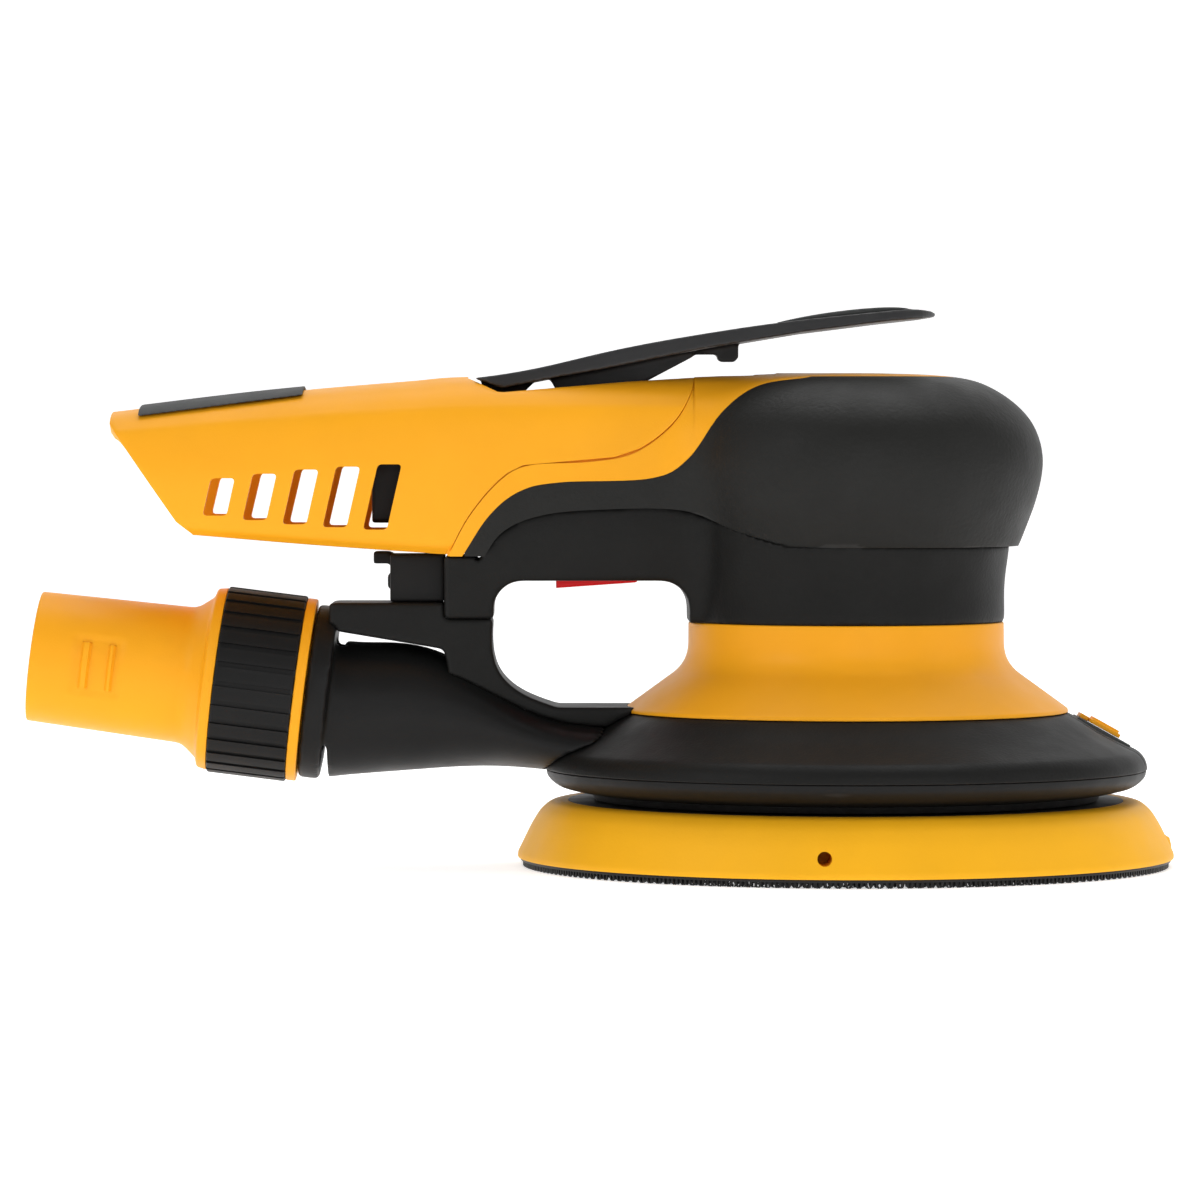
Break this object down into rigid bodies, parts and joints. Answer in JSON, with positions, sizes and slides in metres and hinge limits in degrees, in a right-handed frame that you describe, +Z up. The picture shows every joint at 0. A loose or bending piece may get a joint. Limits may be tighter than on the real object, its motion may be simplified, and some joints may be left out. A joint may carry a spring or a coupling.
{
  "type": "orbital sander",
  "caption": "Random orbital sander with a round pad, dust shroud, closed finger loop, paddle lever and swivel hose adapter.",
  "frame": {"origin": "on the motor axis, at the working face of the pad's hook facing, midway across its orbit", "axes": "+X to the front of the tool, away from the tail; +Z up along the motor axis; +Y to the left"},
  "size_m": [0.2621, 0.15, 0.1274],
  "materials": {
    "yellow_plastic": "satin moulded",
    "black_plastic": "fine spark-eroded grain",
    "black_rubber": "soft-touch grain",
    "grey_rubber": "soft-touch grain",
    "red_plastic": "satin moulded",
    "yellow_foam": "satin moulded urethane",
    "hook_fabric": "woven hooks",
    "steel": "turned",
    "bearing_steel": "ground",
    "aluminium": "machined",
    "copper_wire": "enamelled copper winding",
    "brass_pins": "turned",
    "circuit_board": "solder mask"
  },
  "bodies": {
    "housing": {"main_housing": "yellow_plastic", "rear_cover": "yellow_plastic", "tail_pad": "grey_rubber", "grip_overmould": "black_rubber", "lower_housing": "black_plastic", "collar": "yellow_plastic", "dust_shroud": "black_plastic", "shroud_rim": "black_rubber", "brake_seal": "black_rubber", "shroud_arm": "black_plastic", "exhaust_duct": "black_plastic", "latch_plate": "black_plastic", "latch_catch": "yellow_plastic", "tail_bracket": "black_plastic", "power_inlet": "black_plastic", "inlet_pins": "brass_pins", "lever_tray": "black_plastic", "lever_pin": "steel", "lever_spring": "steel", "lever_sensor": "black_plastic", "button_switch": "black_plastic", "controller_board": "circuit_board", "board_capacitors": "aluminium", "heat_sink": "aluminium", "stator_core": "steel", "stator_coils": "copper_wire", "lower_bearing": "bearing_steel", "upper_bearing": "bearing_steel", "bearing_bracket": "aluminium", "top_bracket": "aluminium", "collar_screws": "steel", "bracket_screws": "steel"},
    "lever": {"paddle_lever": "black_plastic", "lever_inlay": "grey_rubber", "lever_magnet": "steel"},
    "button": {"power_button": "red_plastic"},
    "rotor": {"motor_spindle": "steel", "rotor_core": "steel", "rotor_magnets": "steel", "cooling_fan": "black_plastic", "counterweight": "steel", "pad_bearing_lower": "bearing_steel", "pad_bearing_upper": "bearing_steel"},
    "pad": {"pad_spindle": "steel", "pad_washer": "steel", "pad_screw": "steel", "backing_plate": "black_plastic", "pad_foam": "yellow_foam", "hook_facing": "hook_fabric"},
    "swivel": {"hose_adapter": "yellow_plastic", "grip_ring": "black_plastic", "swivel_seal": "black_rubber"},
    "latch": {"release_slide": "yellow_plastic"}
  },
  "joints": [
    {"name": "motor_spin", "type": "hinge", "parent": "housing", "child": "rotor", "pos_m": [0, 0, 0.05], "axis": [0, 0, 1], "continuous": true},
    {"name": "pad_spin", "type": "hinge", "parent": "rotor", "child": "pad", "pos_m": [0, 0.0025, 0.02], "axis": [0, 0, 1], "continuous": true},
    {"name": "lever_press", "type": "hinge", "parent": "housing", "child": "lever", "pos_m": [-0.08, 0, 0.105], "axis": [0, 1, 0], "range_deg": [0, 6.4], "stiffness_Nm_per_rad": 0.8, "springref_deg": -6.88, "deforming": ["lever_spring"]},
    {"name": "button_press", "type": "slide", "parent": "housing", "child": "button", "axis": [0, 0, 1], "range_m": [0, 0.0012], "stiffness_N_per_m": 400, "springref_m": -0.001},
    {"name": "hose_swivel", "type": "hinge", "parent": "housing", "child": "swivel", "pos_m": [-0.1228, 0, 0.0401], "axis": [-0.9921, 0, 0.1253], "continuous": true},
    {"name": "latch_slide", "type": "slide", "parent": "housing", "child": "latch", "axis": [0.8738, 0, -0.4863], "range_m": [0, 0.0025], "stiffness_N_per_m": 300, "springref_m": -0.001}
  ]
}
